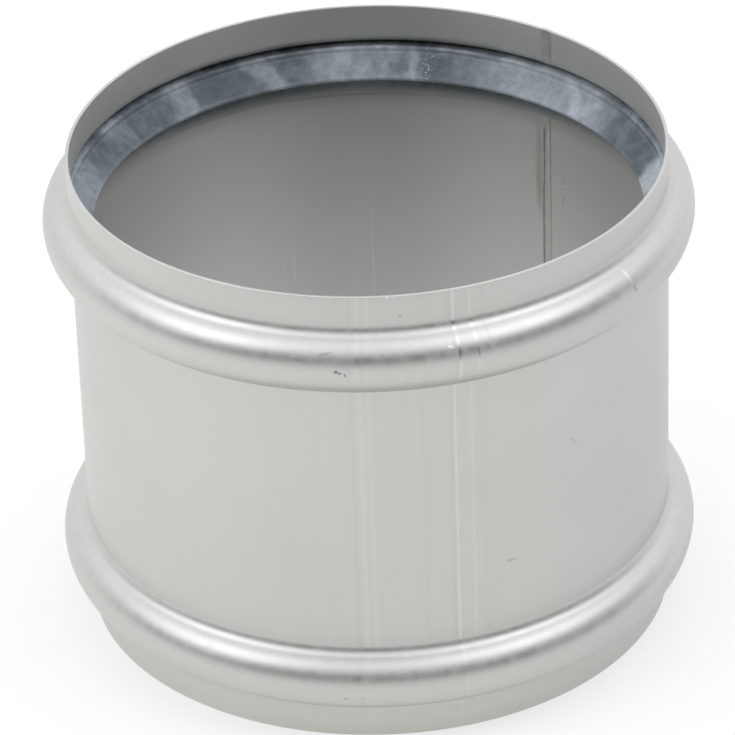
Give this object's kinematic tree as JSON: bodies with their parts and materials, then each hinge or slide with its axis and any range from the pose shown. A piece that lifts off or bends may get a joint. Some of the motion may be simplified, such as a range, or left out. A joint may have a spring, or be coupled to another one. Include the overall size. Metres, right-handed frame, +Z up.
{
  "type": "round duct coupling",
  "caption": "Short round stainless sleeve that joins lengths of round air duct or flue pipe, with a rolled bead near each end and a rubber lip seal held in each bead.",
  "frame": {"origin": "centre of the lower rim, on the sleeve's axis", "axes": "+Z up along the sleeve's axis towards the shorter collar; the welded seam stands 50.5 degrees round from +X towards +Y"},
  "size_m": [0.1108, 0.1108, 0.086],
  "materials": {
    "stainless_sheet": "matt mill-finish stainless steel with fine lengthwise grain",
    "weld": "bare weld metal, slightly darkened by heat",
    "seal_rubber": "blue-grey rubber dusted with white talc"
  },
  "bodies": {
    "root": {"sleeve": "stainless_sheet", "seam_weld": "weld", "upper_seal": "seal_rubber", "lower_seal": "seal_rubber"}
  },
  "joints": []
}
